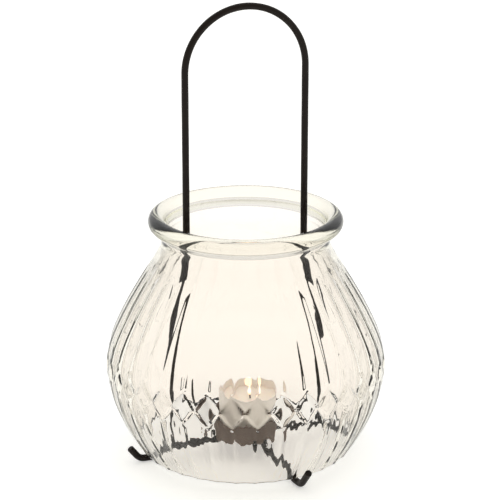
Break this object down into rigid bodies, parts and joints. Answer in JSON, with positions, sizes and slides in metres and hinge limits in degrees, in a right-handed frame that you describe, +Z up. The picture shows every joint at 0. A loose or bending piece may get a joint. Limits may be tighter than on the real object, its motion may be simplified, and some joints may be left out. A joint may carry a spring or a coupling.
{
  "type": "jar candle lantern",
  "caption": "Fluted clear glass shade, open at top and bottom, standing on a crossed wire foot with a tall wire handle and a tealight pan inside.",
  "frame": {"origin": "on the surface it stands on, under the middle of the crossed wire foot and on the shade's axis", "axes": "+Z up along the shade's axis; the handle and the long wire of the cross stand in the plane of X and Z; +Y towards the back, 8 degrees from the back arm of the cross"},
  "size_m": [0.1752, 0.1752, 0.2878],
  "materials": {
    "black_paint": "semi-gloss black-brown paint on steel wire and sheet",
    "clear_glass": "clear pressed glass with a faint grey-green tint at its edges",
    "aluminium_cup": "thin drawn foil cup, softly brushed",
    "wax": "pale candle wax, slightly translucent",
    "cotton_wick": "charred braided cotton",
    "tinplate": "thin tinplate"
  },
  "bodies": {
    "stand": {"handle_wire": "black_paint", "cross_rod": "black_paint", "cross_arm_front": "black_paint", "cross_arm_back": "black_paint", "candle_pan": "black_paint", "handle_weld_left": "black_paint", "handle_weld_right": "black_paint", "cross_weld_1": "black_paint", "cross_weld_2": "black_paint", "cross_weld_3": "black_paint", "cross_weld_4": "black_paint", "pan_weld_1": "black_paint", "pan_weld_2": "black_paint", "pan_weld_3": "black_paint", "pan_weld_4": "black_paint"},
    "shade": {"glass_shade": "clear_glass"},
    "tealight": {"tealight_cup": "aluminium_cup", "tealight_wax": "wax", "wick": "cotton_wick", "wick_tab": "tinplate"}
  },
  "joints": [
    {"name": "shade_lift", "type": "slide", "parent": "stand", "child": "shade", "axis": [0, 0, 1], "range_m": [0, 0.3]},
    {"name": "tealight_lift", "type": "slide", "parent": "stand", "child": "tealight", "axis": [0, 0, 1], "range_m": [0, 0.16]}
  ]
}
